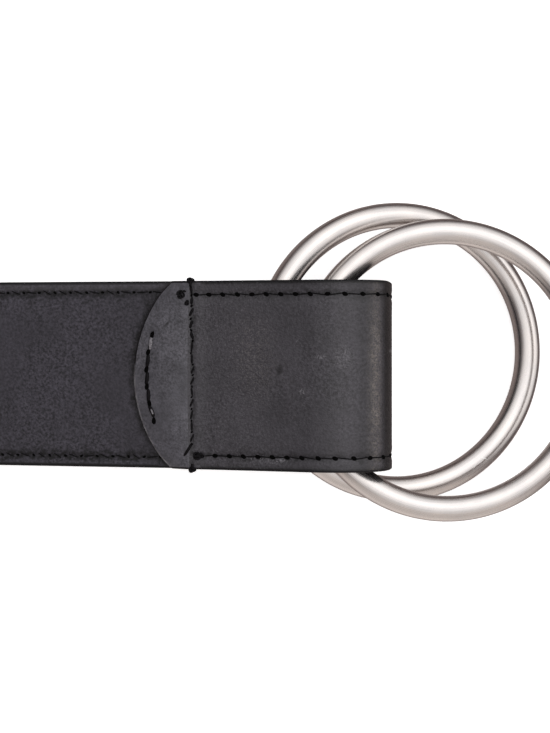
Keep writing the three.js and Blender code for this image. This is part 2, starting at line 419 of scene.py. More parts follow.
def add_node(tree, kind, inputs=(), **settings):
    """Adds a node with its settings. An input is a value, or a socket or a node to link to it."""
    made = tree.nodes.new(kind)
    for name, value in settings.items():
        setattr(made, name, value)
    sockets = [socket for socket in made.inputs if socket.enabled]
    for key, value in dict(inputs).items():
        socket = sockets[key] if isinstance(key, int) else next(s for s in sockets if s.name == key)
        if isinstance(value, bpy.types.Node):
            value = next(output for output in value.outputs if output.enabled)
        if isinstance(value, bpy.types.NodeSocket):
            tree.links.new(value, socket)
        else:
            socket.default_value = value
    return made


def toned(colour_of, share_of):
    """A colour made darker, or paler where the share is over 1."""
    return (*[min(part * share_of, 1.0) for part in colour_of[:3]], 1.0)


def new_material(name):
    """An empty node material and its tree."""
    material = bpy.data.materials.new(name)
    material.use_nodes = True
    material.node_tree.nodes.clear()
    return material, material.node_tree


def shaded(material, base, rough, further):
    """Ends a material's tree in its shader, with the shader's further inputs."""
    tree = material.node_tree
    inputs = {"Base Color": base, "Roughness": rough, **further}
    shader = add_node(tree, "ShaderNodeBsdfPrincipled", inputs)
    add_node(tree, "ShaderNodeOutputMaterial", {"Surface": shader})
    return material


def patches(tree, place, across, levels, gives=(0.0, 1.0), detail=3.0, roughness=0.6):
    """Random patches this many millimetres across, and what they give at a low and a high level."""
    looks = {"Vector": place, "Scale": 1 / (across * MM), "Detail": detail, "Roughness": roughness}
    cloudy = add_node(tree, "ShaderNodeTexNoise", looks)
    ends = {"From Min": levels[0], "From Max": levels[1], "To Min": gives[0], "To Max": gives[1]}
    return add_node(tree, "ShaderNodeMapRange", {"Value": cloudy, **ends})


def spot(tree, place, centre, reach, turn=0.0, slim=1.0):
    """A soft spot, centre and reach in millimetres: long along its turn where slim is over 1."""
    laid = {
        "Vector": place, "Location": tuple(c * MM for c in centre),
        "Rotation": (0.0, 0.0, math.radians(turn)), "Scale": (1.0, 1 / slim, 4.0),
    }
    moved = add_node(tree, "ShaderNodeMapping", laid, vector_type="TEXTURE")
    away = add_node(tree, "ShaderNodeVectorMath", {0: moved}, operation="LENGTH").outputs["Value"]
    ends = {"From Min": 0.3 * reach * MM, "From Max": reach * MM, "To Min": 1.0, "To Max": 0.0}
    return add_node(tree, "ShaderNodeMapRange", {"Value": away, **ends})


def stripe(tree, along, middle, full, reach, share_of):
    """A share across a stripe: whole within full millimetres of its middle, and none past reach."""
    beside = add_node(tree, "ShaderNodeMath", {0: along, 1: middle}, operation="SUBTRACT")
    away = add_node(tree, "ShaderNodeMath", {0: beside}, operation="ABSOLUTE")
    ends = {"From Min": full * MM, "From Max": reach * MM, "To Min": share_of, "To Max": 0.0}
    return add_node(tree, "ShaderNodeMapRange", {"Value": away, **ends})


def coated(tree, surface, coats):
    """Lays coats over a surface. Each is a colour, and the shares that weigh it together."""
    for coat, weight, *further in coats:
        for other in further:
            weight = add_node(tree, "ShaderNodeMath", {0: weight, 1: other}, operation="MULTIPLY")
        both = {"Factor": weight, "A": surface, "B": coat}
        surface = add_node(tree, "ShaderNodeMix", both, data_type="RGBA")
    return surface


def leather(
    name, dye, grain, contrast, bump, rough, shine, mottle, scuffed, inset=0.0, dirt_and_shade=(), marks=None
):
    """Dyed leather: grain in tone and relief, mottling, pale rubs, and dirt along the stitches.

    Calf grain is about 0.2 mm across. Here it is two to three times that, so that it shows.
    dirt is how the row is soiled, how far the edge is painted, and how much the paint stains past it.
    """
    codes = bpy.context.scene.belt_finish
    material, tree = new_material(name)
    place = add_node(tree, "ShaderNodeTexCoord").outputs["Object"]
    fine = {"Vector": place, "Scale": 1 / (grain * MM), "Detail": 3.0, "Roughness": 0.7}
    pebbles = add_node(tree, "ShaderNodeTexNoise", fine)
    specks = add_node(tree, "ShaderNodeMapRange", {"Value": pebbles, "From Min": 0.36, "From Max": 0.64})
    grained = coated(tree, toned(dye, 1 - contrast), [(toned(dye, 1 + contrast), specks)])
    calm = patches(tree, place, 19, (0.42, 0.58), (0.45, 1.0), 2.0)
    across, unevenness = mottle
    tone = patches(tree, place, across, (0.3, 0.7), (1 - unevenness, 1 + unevenness), 5.0, 0.65)
    dyed = coated(tree, tuple(dye), [(grained, calm)])
    ground = add_node(tree, "ShaderNodeHueSaturation", {"Value": tone, "Color": dyed})
    coats = [(codes.rub, patches(tree, place, 1.6, (0.6, 0.74), (0.0, scuffed), 8.0, 0.85))]
    if inset:
        gap = add_node(tree, "ShaderNodeAttribute", attribute_name="row_gap").outputs["Fac"]
        ripple = patches(tree, place, 1.6, (0.3, 0.7), (-0.8 * MM, 0.8 * MM))
        rippled = add_node(tree, "ShaderNodeMath", {0: gap, 1: ripple}, operation="ADD")
        blots = patches(tree, place, 0.8, (0.42, 0.56), (0.35, 1.0), 3.0)
        soil_and_shade, paint, stain = dirt_and_shade
        # Darker along the stitch grooves and the cross seam, with soil and painted shade, and a painted
        # shadow just past the tab's end; all in the edge paint's colour.
        coats.append((codes.edge, stripe(tree, rippled, 0.12 * MM, *soil_and_shade), blots))
        coats.append((codes.edge, stripe(tree, gap, -inset, paint, paint + 0.2, 1.0)))
        coats.append((codes.edge, stripe(tree, gap, -inset, paint, paint + 1.0, stain)))
    if marks:
        coats += marks(tree, place)
    raised = add_node(tree, "ShaderNodeBump", {"Height": pebbles, "Distance": bump * MM})
    coarse = {"Vector": place, "Scale": 1 / (grain * 1.7 * MM)}
    pores = add_node(tree, "ShaderNodeTexVoronoi", coarse, feature="SMOOTH_F1")
    dents = {"Height": pores, "Distance": bump * MM * 0.5, "Strength": 0.5, "Normal": raised}
    dented = add_node(tree, "ShaderNodeBump", dents)
    dulled = patches(tree, place, across, (0.3, 0.7), (rough - 0.05, rough + 0.05), 5.0, 0.65)
    further = {"Normal": dented, "Specular IOR Level": shine}
    return shaded(material, coated(tree, ground, coats), dulled, further)


def face_leather():
    """Plated calf leather: pressed smooth with a low gloss, and cracked pale where it is folded."""
    scene = bpy.context.scene
    codes = scene.belt_finish
    shape = StrapShape(scene)

    def marks(tree, place):
        around = add_node(tree, "ShaderNodeUVMap", uv_map="surface")
        along = add_node(tree, "ShaderNodeSeparateXYZ", {"Vector": around}).outputs["X"]
        highlight_speckle = patches(tree, place, 0.42, (0.45, 0.56), (0.0, 1.0), 5.0, 0.9)
        flecks = patches(tree, place, 0.36, (0.5, 0.66), (0.0, 1.0), 4.0, 0.8)
        streaked = patches(tree, place, 1.6, (0.35, 0.62), (0.45, 1.0), 3.0)
        middle = spot(tree, place, (493, -1, 24), 25)
        crown = shape.crown_u
        turn = (shape.crown_u + shape.fold_u) / 2
        fold = stripe(tree, along, crown - 6.2 * MM, 0.4, 2.0, 0.82)
        coats = [
            # A speckled painted highlight on the fold's shoulder, kept to the middle of the width.
            (codes.stretch_and_highlight, fold, highlight_speckle, streaked, middle),
            # A faint speckled painted highlight on the fold's crown.
            (codes.rub, stripe(tree, along, crown - 0.6 * MM, 0.5, 3.0, 0.1), highlight_speckle),
            # Painted shade in the dip between the crown and the shoulder's highlight, in the edge paint's
            # colour.
            (codes.edge, stripe(tree, along, crown - 4.3 * MM, 0.7, 1.9, 0.3)),
            # Painted shade over the fold's turn, where it faces away from the light, in the edge paint's
            # colour.
            (codes.edge, stripe(tree, along, turn, 4.9, 6.5, 0.95)),
            (codes.rub, stripe(tree, along, crown + 21 * MM, 5.0, 10.0, 0.24), flecks),
            (codes.stretch_and_highlight, spot(tree, place, (472.2, 3.5, 20), 11, 90, 2), flecks, 0.3),
            (codes.edge, spot(tree, place, (477.3, 1.1, 24), 1.5, 78, 1.9), 0.8),
        ]
        # Each scuff's place and reach in millimetres, its turn and slimness, and how pale it is.
        scuffs = (
            ((485.2, 3.8, 27), 1.4, 0, 3.0, 2.5),
            ((489.8, 3.4, 27), 3.2, 90, 1.3, 0.9),
            ((481.7, -3.1, 26), 0.8, 0, 1.0, 2.5),
            ((477.4, -16.7, 27), 3.2, 12, 4.0, 1.3),
            ((473.0, -16.6, 27), 4.5, 0, 5.0, 0.6),
            ((499.4, 4.9, 19), 0.8, 0, 1.5, 2.5),
        )
        for centre, reach, way, slim, weight in scuffs:
            coats.append((codes.rub, spot(tree, place, centre, reach, way, slim), flecks, weight))
        return coats

    return leather(
        "plated_calf_face", codes.face, grain=0.55, contrast=0.5, bump=0.16, rough=0.36, shine=0.38,
        mottle=(9, 0.2), scuffed=0.6, inset=scene.belt_stitch.face_inset,
        dirt_and_shade=((0.2, 1.15, 0.75), 0.6, 0.45), marks=marks,
    )


def tab_leather():
    """The same leather past the cross seam, where it was pressed flat: paler, smoother, unevenly worn."""
    codes = bpy.context.scene.belt_finish

    def marks(tree, place):
        return [(codes.edge, spot(tree, place, (454.6, 10.3, 17), 1.1, 43, 3.5), 0.7)]

    return leather(
        "pressed_calf_tab", codes.tab, grain=0.5, contrast=0.42, bump=0.1, rough=0.44, shine=0.42,
        mottle=(3.4, 0.32), scuffed=0.45, marks=marks,
    )


def lining_leather():
    """Matte calf leather: unplated, so its open grain stays dry and even with little shine."""
    scene = bpy.context.scene
    codes = scene.belt_finish

    def marks(tree, place):
        across = add_node(tree, "ShaderNodeSeparateXYZ", {"Vector": place}).outputs["Y"]
        flecks = patches(tree, place, 0.8, (0.35, 0.65), (0.3, 1.0), 4.0, 0.8)
        # A flecked painted highlight along the upper edge only, where the surface turns towards the
        # light.
        return [(codes.rub, stripe(tree, across, 17.8 * MM, 0.35, 0.95, 0.24), flecks)]

    return leather(
        "matte_calf_lining", codes.lining, grain=0.55, contrast=0.68, bump=0.2, rough=0.54,
        shine=0.3, mottle=(11, 0.18), scuffed=0.4, inset=scene.belt_stitch.lining_inset,
        dirt_and_shade=((0.55, 1.35, 1.0), 0.6, 0.0), marks=marks,
    )


def edge_paint_with_painted_highlight():
    """Edge paint on the tab's bevel, rubbed through to grey fibres along its lower half."""
    codes = bpy.context.scene.belt_finish
    material, tree = new_material("highlit_bevel_edge_paint")
    place = add_node(tree, "ShaderNodeTexCoord").outputs["Object"]
    across = add_node(tree, "ShaderNodeSeparateXYZ", {"Vector": place}).outputs["Y"]
    ends = {"From Min": 2.5 * MM, "From Max": 0.0}
    # The lower half gets a patchy painted highlight in the rub colour.
    lower = add_node(tree, "ShaderNodeMapRange", {"Value": across, **ends})
    highlight_patches = patches(tree, place, 1.3, (0.35, 0.6), (0.35, 0.85), 4.0)
    frayed = add_node(tree, "ShaderNodeBump", {"Height": highlight_patches, "Distance": 0.03 * MM})
    # The edge paint with the painted highlight laid over its lower half.
    worn = coated(tree, tuple(codes.edge), [(codes.rub, lower, highlight_patches)])
    return shaded(material, worn, 0.5, {"Normal": frayed, "Specular IOR Level": 0.3})


def lumpy(name, dye, paler, across, levels, bump, rough, shine):
    """A dyed or painted finish, paler on its lumps, which are this many millimetres across."""
    material, tree = new_material(name)
    place = add_node(tree, "ShaderNodeTexCoord").outputs["Object"]
    lumps = patches(tree, place, across, levels)
    raised = add_node(tree, "ShaderNodeBump", {"Height": lumps, "Distance": bump * MM})
    dyed = coated(tree, tuple(dye), [(toned(dye, paler), lumps)])
    return shaded(material, dyed, rough, {"Normal": raised, "Specular IOR Level": shine})


def satin_nickel():
    """Nickel plate brushed along the wire: a broad soft shine in fine streaks, with a few scratches.

    The brush marks are about 0.05 mm apart on a real ring. Here they are 0.35 mm, so that they show.
    """
    codes = bpy.context.scene.belt_finish
    material, tree = new_material("satin_nickel_plate")
    place = add_node(tree, "ShaderNodeTexCoord").outputs["Object"]
    around = add_node(tree, "ShaderNodeUVMap", uv_map="surface")
    drawn_out = add_node(tree, "ShaderNodeMapping", {"Vector": around, "Scale": (0.03, 1.0, 1.0)})
    streaks = patches(tree, drawn_out, 0.35, (0.3, 0.7), detail=4.0, roughness=0.7)
    tarnish = patches(tree, place, 6, (0.4, 0.7), detail=5.0)
    blotch = patches(tree, place, 6, (0.4, 0.55), detail=5.0)
    metal = codes.metal
    warm = (metal[0], metal[1] * 0.98, metal[2] * 0.96, 1)
    coats = [
        (tuple(metal), streaks),
        (warm, tarnish),
        (codes.blemish, spot(tree, place, (522.7, 15.6, 3), 2.2), blotch, 0.7),
    ]
    rough = add_node(tree, "ShaderNodeMapRange", {"Value": streaks, "To Min": 0.22, "To Max": 0.33})
    for centre, turn in (((518.8, -18.2, 5), 35), ((517.6, -19.0, 5), 62), ((519.6, -17.4, 5), -20)):
        scratch = spot(tree, place, centre, 1.3, turn, 9)
        coats.append(((1, 1, 1, 1), scratch))
        rough = add_node(tree, "ShaderNodeMath", {0: scratch, 1: 0.3, 2: rough}, operation="MULTIPLY_ADD")
    marks = {"Height": streaks, "Distance": 0.005 * MM, "Strength": 0.5}
    brushed = add_node(tree, "ShaderNodeBump", marks)
    polished = coated(tree, toned(metal, 0.8), coats)
    return shaded(material, polished, rough, {"Normal": brushed, "Metallic": 1.0})


MADE_MATERIALS = {}


def finish(name):
    """The material of that name, made at its first use."""
    codes = bpy.context.scene.belt_finish
    makers = {
        "face": (face_leather,),
        "lining": (lining_leather,),
        "tab": (tab_leather,),
        "cut": (edge_paint_with_painted_highlight,),
        "metal": (satin_nickel,),
        # Paint burnished into the cut fibres: nearly black, low lumps, a narrow dull shine.
        "edge": (lumpy, "burnished_edge_paint", codes.edge, 1.7, 1.1, (0.35, 0.75), 0.02, 0.45, 0.2),
        # Twisted bonded filaments: pale flecks of light along a black cord. Real ones are 0.1 mm.
        "thread": (
            lumpy, "bonded_polyester_thread", codes.thread, 2.2, 0.25, (0.45, 0.75), 0.03, 0.6, 0.12
        ),
        # The same thread with its dye rubbed off: grey and fluffy.
        "pale_thread": (
            lumpy, "rubbed_polyester_thread", codes.pale_thread, 2.4, 0.3, (0.4, 0.65), 0.04, 0.6, 0.3
        ),
        # Painted shade inside the needle holes: near black in loose lumps, without shine.
        "hole": (lumpy, "pierced_leather_fibre", codes.hole, 2.2, 0.25, (0.45, 0.75), 0.03, 0.9, 0.05),
    }
    if name not in MADE_MATERIALS:
        maker, *values = makers[name]
        MADE_MATERIALS[name] = maker(*values)
    return MADE_MATERIALS[name]


# Leathers

# Columns beside a row of stitches, in groove widths, and columns over the middle.
ROW_COLUMNS = (-1.8, -0.95, -0.45, 0.0, 0.45, 0.95, 1.8)
INNER_COLUMNS = tuple(k / 7 for k in range(-6, 7))
CORNER_STEPS = 3
# Share of the rounding that a leather's inner corner has.
INNER_ROUNDING = 0.35
# Sections along the strap: closer together at the curved tip and over the bent end with its seam.
ROUND_STEPS = 3
TAB_STEPS = 26
TIP_CLOSE_LENGTH = 9 * MM
TIP_LENGTH = 25 * MM
PLAIN_SECTIONS = 400
BENT_LENGTH = 60 * MM
BENT_STEP = 0.45 * MM
# Relief: the dent along the cross seam, and the low swells of the plain surface.
SEAM_DENT_WIDTH = 0.55 * MM
SWELL_HEIGHT = 0.05 * MM
SWELL_LENGTH = 23 * MM
# A row gap where no row's soil and painted shade reach the leather.
FAR_FROM_ROWS = 20 * MM
EDGE_SLOT = 1


class Leather:
    """One leather of the strap, as closed sections that are joined to a solid."""

    def __init__(self, shape, inset, on_top):
        self.shape = shape
        self.on_top = on_top
        self.inset = inset
        self.rounding = shape.strap.corner_radius
        self.points, self.uv, self.row_gaps = [], [], []
        half, groove = shape.half_width, shape.stitch.groove_width
        row = half - inset
        border = half - self.rounding
        right = [row + k * groove for k in ROW_COLUMNS]
        middle = [k * (row + ROW_COLUMNS[0] * groove) for k in INNER_COLUMNS]
        self.y = np.array([-border, *[-y for y in reversed(right)], *middle, *right, border])
        turns = (np.arange(CORNER_STEPS) + 1) / (CORNER_STEPS + 1) * math.pi / 2
        self.corner_y = border + self.rounding * np.sin(turns)
        self.corner_drop = self.rounding * (1 - np.cos(turns))
        low = half - self.rounding * INNER_ROUNDING
        self.loop_y = np.concatenate(
            [self.y, self.corner_y, [half, low], self.y[::-1], [-low, -half], -self.corner_y[::-1]]
        )

    def sunk(self, u, y):
        """How far the surface lies under its plane near the edge rows and the cross seam."""
        shape, stitch = self.shape, self.shape.stitch
        from_row = np.abs(shape.edge_gap(u, y) - self.inset) / stitch.groove_width
        # The groove has a low lip beside it.
        groove = np.exp(-(from_row**2)) - 0.25 * np.exp(-((from_row - 2.0) ** 2))
        seam = np.exp(-(((u - shape.end_u + stitch.seam_offset) / SEAM_DENT_WIDTH) ** 2))
        swell = SWELL_HEIGHT * noise.noise(Vector((float(u[0]) / SWELL_LENGTH, 0.3, 0.7)))
        pressed = stitch.groove_depth * (0.3 + groove + 1.3 * seam * (from_row > 1.2))
        return pressed + swell * np.clip(from_row - 1, 0, 1)

    def row_gap(self, u, y):
        """Distance to the nearest edge row, cross seam or tab end, negative outside the row.

        The distances to the seam and the tab's end count for more, as these are soiled less far out.
        """
        shape = self.shape
        gap = shape.edge_gap(u, y) - self.inset
        from_seam = np.abs(u - shape.end_u + shape.stitch.seam_offset) * 1.3
        gap = np.where(from_seam < np.abs(gap), from_seam, gap)
        # Just past the tab's end the lining is darkened: a painted shadow of the tab.
        past_tab = shape.seam_u - u - shape.reach(y) - 0.3 * MM
        from_tab = np.where(self.on_top, np.abs(past_tab), 1) * 1.1
        return np.where(from_tab < np.abs(gap), from_tab, gap)

    def section(self, place, u_of, outer, inner, ends=0.0, flat=False, uv_start=None):
        """Adds a closed section. u_of gives the arc length at each width; ends rounds it off."""
        side = math.copysign(1, outer - inner)
        u = u_of(self.y)
        lost = self.rounding * (1 - math.cos(ends))
        top = outer - side * (lost + (0 * self.y if flat else self.sunk(u, self.y)))
        corner = outer - side * (lost + self.corner_drop)
        low = inner + side * self.rounding * INNER_ROUNDING
        level = np.full_like(self.y, inner)
        lift = np.concatenate([top, corner, [low, inner], level, [inner, low], corner[::-1]])
        u = u_of(self.loop_y)
        self.points.append(place(u, self.loop_y, lift))
        self.row_gaps.append(np.full_like(u, FAR_FROM_ROWS) if flat else self.row_gap(u, self.loop_y))
        along = u if uv_start is None else uv_start + u
        self.uv.append(np.stack([along, self.loop_y], -1))

    def run(self, outer, inner):
        """Adds the sections from the curved tip, whose outline turns straight, to the cross seam."""
        shape = self.shape
        for k in range(ROUND_STEPS + 1):
            turn = math.pi / 2 * (1 - k / ROUND_STEPS)
            start = self.rounding * (1 - math.sin(turn))
            self.section(shape.place, lambda y: start + shape.end_inset(y), outer, inner, ends=turn)
        close = np.linspace(self.rounding, TIP_CLOSE_LENGTH, 26)[1:]
        wider = np.linspace(TIP_CLOSE_LENGTH, TIP_LENGTH, 18)[1:]
        for distance in (*close, *wider):
            gone = distance / TIP_LENGTH
            bent = 1 - gone * gone * (3 - 2 * gone)
            self.section(shape.place, lambda y: distance + shape.end_inset(y) * bent, outer, inner)
        near = shape.seam_u - BENT_LENGTH
        plain = np.linspace(TIP_LENGTH, near, PLAIN_SECTIONS, endpoint=False)
        bent_end = np.linspace(near, shape.end_u, int((shape.end_u - near) / BENT_STEP))
        for u in (*plain, *bent_end):
            self.section(shape.place, lambda y: u + 0 * y, outer, inner)

    def cap(self, start, flip):
        """Faces that close a section: a strip between its two surfaces, and its two sides."""
        n = len(self.y)
        side = CORNER_STEPS + 2
        top = [start + k for k in range(n)]
        low = [start + n + side + (n - 1 - k) for k in range(n)]
        faces = [(top[k], top[k + 1], low[k + 1], low[k]) for k in range(n - 1)]
        faces.append((top[-1], *[start + n + k for k in range(side)], low[-1]))
        faces.append((low[0], *[start + 2 * n + side + k for k in range(side)], top[0]))
        return [face[::-1] for face in faces] if flip else faces

    def build(self, name, slot_of):
        """The leather's object. slot_of gives the surface's material number at each section."""
        count, last, top_quads = len(self.loop_y), len(self.points) - 1, len(self.y) - 1
        points = np.concatenate(self.points)
        faces = ring_quads(last + 1, count)
        inside_out = signed_volume(points, faces) < 0
        ends = self.cap(0, True) + self.cap(last * count, False)
        faces += ends
        slots = []
        for i in range(last):
            slots += [slot_of(i)] * top_quads + [EDGE_SLOT] * (count - top_quads)
        slots += [EDGE_SLOT] * len(ends)
        if inside_out:
            faces = [face[::-1] for face in faces]
        made = plain_object(name, points, faces, slots, np.concatenate(self.uv))
        layer = made.data.attributes.new("row_gap", "FLOAT", "POINT")
        layer.data.foreach_set("value", np.concatenate(self.row_gaps))
        return made


def signed_volume(points, quads):
    """Six times the volume inside quads, negative where they face inwards."""
    q = points[np.array(quads)]
    first = np.einsum("ij,ij->i", q[:, 0], np.cross(q[:, 1], q[:, 2])).sum()
    second = np.einsum("ij,ij->i", q[:, 0], np.cross(q[:, 2], q[:, 3])).sum()
    return first + second


class BELT_OT_leathers(bpy.types.Operator):
    """Build the face leather with its tab, and the lining"""

    bl_idname = "belt.leathers"
    bl_label = "Leathers"

    def execute(self, context):
        shape = StrapShape(context.scene)
        strap = shape.strap
        half_gap = strap.joint_gap / 2
        close = strap.glue_line / 2
        self.build_face(shape, -half_gap - strap.face_thickness, -close)
        self.build_lining(shape, half_gap + strap.lining_thickness, close)
        return {"FINISHED"}

    def build_face(self, shape, outer, inner):
        strap = shape.strap
        part = Leather(shape, shape.stitch.face_inset, False)
        part.run(outer, inner)
        seam_section = len(part.points)
        low = strap.joint_gap / 2
        full = low + strap.face_thickness
        for k in range(1, TAB_STEPS + ROUND_STEPS + 1):
            gone = min(k / TAB_STEPS, 1)
            turn = math.pi / 2 * max(k - TAB_STEPS, 0) / ROUND_STEPS
            left = part.rounding * (1 - math.sin(turn))
            top = full * (1 - strap.tab_skive * gone)

            def back(y):
                return gone * (shape.reach(y) - part.rounding) + (part.rounding - left) * (gone >= 1)

            part.section(shape.place_on_tab, back, top, low, ends=turn, flat=True, uv_start=shape.end_u)
        bevel = len(part.points) - 1 - ROUND_STEPS
        made = part.build("face_leather", lambda i: 0 if i < seam_section else 2 if i < bevel else 3)
        materials = [finish("face"), finish("edge"), finish("tab"), finish("cut")]
        finish_piece(made, STRAP_BODY, materials, ["strap_face"])

    def build_lining(self, shape, outer, inner):
        part = Leather(shape, shape.stitch.lining_inset, True)
        part.run(outer, inner)
        made = part.build("lining_leather", lambda i: 0)
        materials = [finish("lining"), finish("edge")]
        finish_piece(made, STRAP_BODY, materials, ["strap_lining"])


# Stitches

ROW_INPUTS = {"Points": "Geometry", "Slant": "Float", "Wander": "Float", "Seed": "Int"}
STITCH_INPUTS = {"Thread": "Float", "Rise": "Float", "Sink": "Float"}
HOLE_INPUTS = {"Length": "Float", "Width": "Float", "Height": "Float"}
ROW_SEED = 3
UNEVEN_PITCH = (0.97, 1.03)
# Heights of a thread's middle and of a hole's dark oval, as shares of their widths.
THREAD_RISE = 0.05
HOLE_RISE = 0.36
# The cross seam's first hole from the edge, its upper stitches, and the holes that are passed over.
SEAM_MARGIN = 0.7 * MM
UPPER_STITCHES = 5
MISSED_HOLES = 2
UP = np.array([0.0, 0.0, 1.0])


def row_tree(name, inputs):
    """An empty node tree with its row's inputs and its own, and the sockets that give them."""
    tree = bpy.data.node_groups.new(name, "GeometryNodeTree")
    for label, kind in {**ROW_INPUTS, **inputs}.items():
        tree.interface.new_socket(label, in_out="INPUT", socket_type=f"NodeSocket{kind}")
    tree.interface.new_socket("Row", in_out="OUTPUT", socket_type="NodeSocketGeometry")
    return tree, add_node(tree, "NodeGroupInput").outputs


def lay_along_row(tree, given, shape, size, material):
    """Sets a shape on each point along its row, turned, sized, made real and given its material."""
    along, up = [
        add_node(tree, "GeometryNodeInputNamedAttribute", {"Name": name}, data_type="FLOAT_VECTOR")
        for name in ("along", "up")
    ]
    align = "FunctionNodeAlignRotationToVector"
    headed = add_node(tree, align, {"Vector": along}, axis="X")
    upright = add_node(tree, align, {"Rotation": headed, "Vector": up}, axis="Z", pivot_axis="X")
    ends = {"Min": -1.0, "Max": 1.0, "Seed": given["Seed"]}
    chance = add_node(tree, "FunctionNodeRandomValue", ends, data_type="FLOAT")
    slants = {0: given["Wander"], 1: chance, 2: given["Slant"]}
    slanted = add_node(tree, "ShaderNodeMath", slants, operation="MULTIPLY_ADD")
    turn = add_node(tree, "ShaderNodeCombineXYZ", {"Z": slanted})
    turns = {"Rotation": upright, "Rotate By": turn}
    turned = add_node(tree, "FunctionNodeRotateRotation", turns, rotation_space="LOCAL")
    smooth = add_node(tree, "GeometryNodeSetShadeSmooth", {"Geometry": shape})
    row = {"Points": given["Points"], "Instance": smooth, "Rotation": turned, "Scale": size}
    laid = add_node(tree, "GeometryNodeInstanceOnPoints", row)
    real = add_node(tree, "GeometryNodeRealizeInstances", {"Geometry": laid})
    dyed = add_node(tree, "GeometryNodeSetMaterial", {"Geometry": real, "Material": material})
    add_node(tree, "NodeGroupOutput", {"Row": dyed})
    return tree


def stitch_tree(material):
    """A node tree that lays a short bent thread at each point, from hole to hole."""
    tree, given = row_tree("lay_stitches", STITCH_INPUTS)
    low = add_node(tree, "ShaderNodeMath", {0: given["Sink"], 1: -1.0}, operation="MULTIPLY")
    heights = {0: given["Rise"], 1: 2.0, 2: given["Sink"]}
    high = add_node(tree, "ShaderNodeMath", heights, operation="MULTIPLY_ADD")
    start, middle, end = [
        add_node(tree, "ShaderNodeCombineXYZ", {"X": x, "Z": z})
        for x, z in ((-0.5, low), (0.0, high), (0.5, low))
    ]
    way = {"Resolution": 6, "Start": start, "Middle": middle, "End": end}
    bend = add_node(tree, "GeometryNodeCurveQuadraticBezier", way)
    radius = add_node(tree, "ShaderNodeMath", {0: given["Thread"], 1: 0.5}, operation="MULTIPLY")
    profile = add_node(tree, "GeometryNodeCurvePrimitiveCircle", {"Resolution": 6, "Radius": radius})
    sweep = {"Curve": bend, "Profile Curve": profile, "Fill Caps": True}
    strand = add_node(tree, "GeometryNodeCurveToMesh", sweep)
    span = add_node(tree, "GeometryNodeInputNamedAttribute", {"Name": "span"}, data_type="FLOAT")
    size = add_node(tree, "ShaderNodeCombineXYZ", {"X": span, "Y": 1.0, "Z": 1.0})
    return lay_along_row(tree, given, strand, size, material)


def hole_tree(material):
    """A node tree that sets a low dark oval at each point, where the needle went through."""
    tree, given = row_tree("paint_hole_shade", HOLE_INPUTS)
    oval = add_node(tree, "GeometryNodeMeshUVSphere", {"Segments": 10, "Rings": 5, "Radius": 0.5})
    sides = {"X": given["Length"], "Y": given["Width"], "Z": given["Height"]}
    return lay_along_row(tree, given, oval, add_node(tree, "ShaderNodeCombineXYZ", sides), material)


def grown(name, points, attributes, tree, values):
    """The plain mesh object that a node tree makes from points with attributes."""
    made = plain_object(name, points, [])
    for key, data in attributes.items():
        kind, field = ("FLOAT_VECTOR", "vector") if data.ndim > 1 else ("FLOAT", "value")
        layer = made.data.attributes.new(key, kind, "POINT")
        layer.data.foreach_set(field, data.ravel())
    modifier = made.modifiers.new("grow", "NODES")
    modifier.node_group = tree
    for item in tree.interface.items_tree:
        if item.item_type == "SOCKET" and item.in_out == "INPUT" and item.name in values:
            modifier[item.identifier] = values[item.name]
    bpy.context.view_layer.update()
    graph = bpy.context.evaluated_depsgraph_get()
    mesh = bpy.data.meshes.new_from_object(made.evaluated_get(graph))
    made.modifiers.clear()
    made.data = mesh
    if not mesh.polygons:
        raise RuntimeError(f"{name} came out empty")
    return made


def unit(vectors):
    """Vectors made one long."""
    return vectors / np.linalg.norm(vectors, axis=-1)[..., None]


def between_holes(holes, ups, middles=None):
    """Points and attributes of the stitches between neighbouring holes."""
    step = holes[1:] - holes[:-1]
    if middles is None:
        middles = (holes[1:] + holes[:-1]) / 2
    span = np.linalg.norm(step, axis=1)
    return middles, {"along": unit(step), "up": unit(ups[1:] + ups[:-1]), "span": span}


def sew(name, holes, ups, thread_size, sunk, slant=0.0, wander=3.0, hole_size=1.0, middles=None):
    """Sews thread from hole to hole, sunk by a share of its size, and marks the holes themselves."""
    stitch = bpy.context.scene.belt_stitch
    points, attributes = between_holes(holes, ups, middles)
    values = {
        "Thread": thread_size, "Rise": thread_size * THREAD_RISE, "Sink": thread_size * sunk,
        "Slant": -slant, "Wander": math.radians(wander), "Seed": stitch.seed,
    }
    tree = stitch_tree(finish("thread"))
    finish_piece(grown(f"{name}_stitches", points, attributes, tree, values), STRAP_BODY, [])
    attributes = {"along": unit(np.gradient(holes, axis=0)), "up": ups}
    values = {
        "Length": stitch.hole_length * hole_size, "Width": stitch.hole_width * hole_size,
        "Height": stitch.hole_width * HOLE_RISE, "Slant": -max(slant, stitch.hole_slant),
        "Wander": math.radians(2 * wander), "Seed": stitch.seed,
    }
    tree = hole_tree(finish("hole"))
    finish_piece(grown(f"{name}_holes", holes, attributes, tree, values), STRAP_BODY, [])


